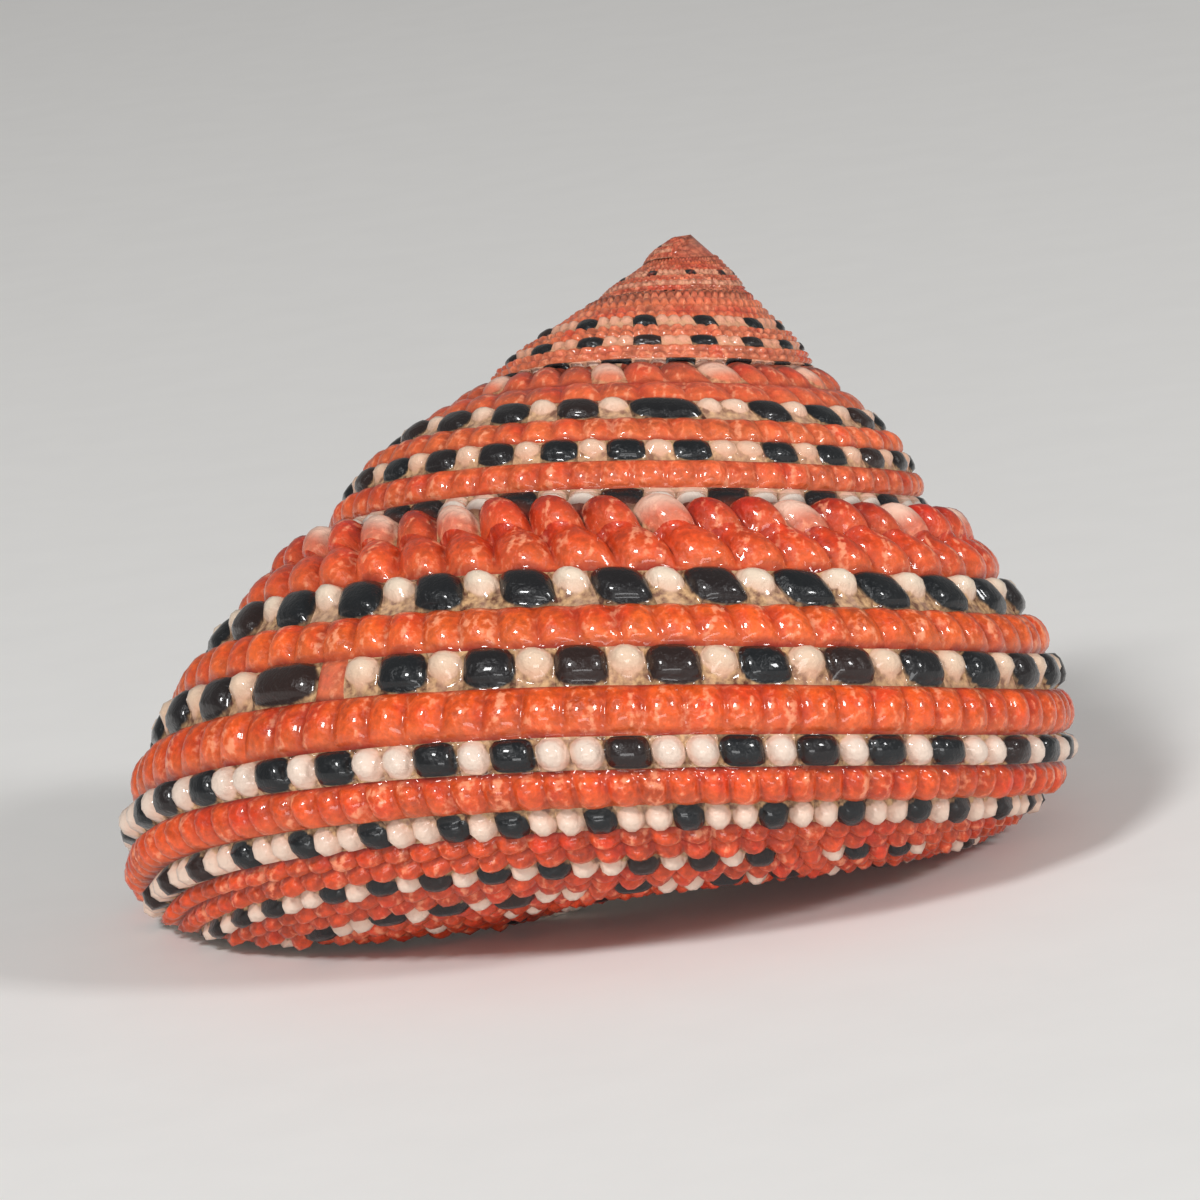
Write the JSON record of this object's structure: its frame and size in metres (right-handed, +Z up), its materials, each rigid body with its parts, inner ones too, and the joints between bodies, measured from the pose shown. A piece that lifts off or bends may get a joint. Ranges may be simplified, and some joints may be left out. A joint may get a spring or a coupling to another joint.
{
  "type": "strawberry top shell",
  "caption": "Conical coiled sea-snail shell with beaded spiral ridges, a toothed mouth and an open hollow under its axis.",
  "frame": {"origin": "middle of the shell's bounding box, on the surface that it rests on", "axes": "+Z up, +X along the longest extent, -Y towards the side that the picture shows, with the mouth's rim down at the back left"},
  "size_m": [0.0216, 0.0196, 0.0139],
  "materials": {
    "shell": "glossy coral red with rows of black and white beads, pearly inside"
  },
  "bodies": {
    "root": {"shell": "shell"}
  },
  "joints": []
}
